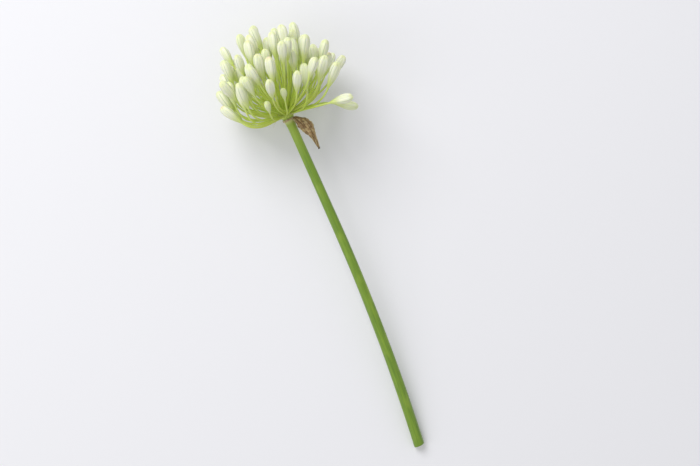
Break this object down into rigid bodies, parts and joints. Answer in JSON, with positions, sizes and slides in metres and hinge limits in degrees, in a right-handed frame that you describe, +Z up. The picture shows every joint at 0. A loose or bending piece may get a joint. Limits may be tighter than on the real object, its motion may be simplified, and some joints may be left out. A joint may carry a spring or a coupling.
{
  "type": "agapanthus flower head",
  "caption": "Cut agapanthus flower head in tight white bud, lying down: a round umbel of buds on thin curved pedicels at the end of a smooth green scape, with a dried bract.",
  "frame": {"origin": "centre of the bottom of the bounding box, on the surface that the flower lies on", "axes": "+Y along the scape toward the umbel, +X to the right of the scape as seen from above with the umbel up, +Z up from the surface"},
  "size_m": [0.137, 0.4684, 0.1256],
  "materials": {
    "scape_green": "smooth fresh green plant skin with a soft waxy sheen",
    "bud_white": "soft satin cream-white petals that turn yellow-green toward the pedicel",
    "bract_brown": "dry, papery, matt brown"
  },
  "bodies": {
    "root": {"scape": "scape_green", "umbel": "bud_white", "spathe_bract": "bract_brown"}
  },
  "joints": []
}
